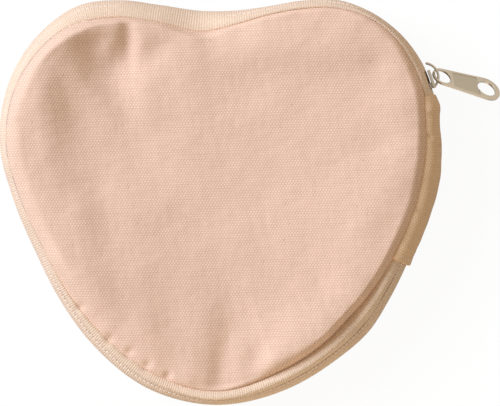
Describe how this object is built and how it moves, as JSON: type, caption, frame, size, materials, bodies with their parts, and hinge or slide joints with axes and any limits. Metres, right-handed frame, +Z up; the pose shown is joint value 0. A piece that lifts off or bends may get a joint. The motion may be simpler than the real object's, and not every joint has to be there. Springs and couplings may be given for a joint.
{
  "type": "heart shaped purse",
  "caption": "Heart shaped canvas purse: two panels, a zip round almost the whole edge, a folded side strip as its hinge and a metal pull.",
  "frame": {"origin": "on the flat of the back panel that the purse lies on, below the middle of the heart", "axes": "+Z up, out of the front panel; +Y from the heart's tip to its notch; +X towards the side strip"},
  "size_m": [0.1804, 0.1461, 0.0281],
  "materials": {
    "canvas": "natural unbleached canvas, plain weave",
    "strip_canvas": "folded canvas, browner in the shade",
    "zip_tape": "woven tape with fine ribs across it",
    "coil": "nylon, slightly glossy",
    "core_cord": "twisted cord",
    "binding": "cotton binding",
    "slider_metal": "satin nickel plating",
    "pull_metal": "satin nickel plating"
  },
  "bodies": {
    "back_half": {"back_panel": "canvas", "back_tape": "zip_tape", "back_coil": "coil", "back_core_cord": "core_cord", "back_binding": "binding", "side_strip": "strip_canvas"},
    "front_half": {"front_panel": "canvas", "front_tape": "zip_tape", "front_coil": "coil", "front_core_cord": "core_cord", "front_binding": "binding"},
    "slider": {"slider_body": "slider_metal"},
    "pull": {"pull_tab": "pull_metal"}
  },
  "joints": [
    {"name": "front_opens", "type": "hinge", "parent": "back_half", "child": "front_half", "pos_m": [0.0715, 0.00817, 0.01286], "axis": [0.1591, 0.9873, 0], "range_deg": [0, 110], "deforming": ["front_tape", "front_coil", "front_core_cord", "side_strip", "back_coil", "back_core_cord"]},
    {"name": "slider_travel", "type": "hinge", "parent": "back_half", "child": "slider", "pos_m": [0.0326, 0.02889, 0.01286], "axis": [0, 0, 1], "range_deg": [0, 54], "deforming": ["back_coil", "front_coil", "back_core_cord", "front_core_cord"]},
    {"name": "pull_swing", "type": "hinge", "parent": "slider", "child": "pull", "pos_m": [0.07642, 0.04606, 0.01286], "axis": [0.106, -0.7049, 0.7014], "range_deg": [0, 80]}
  ],
  "couplings": [
    {"joint": "slider_travel", "follows": "front_opens", "ratio": 0.49091}
  ]
}
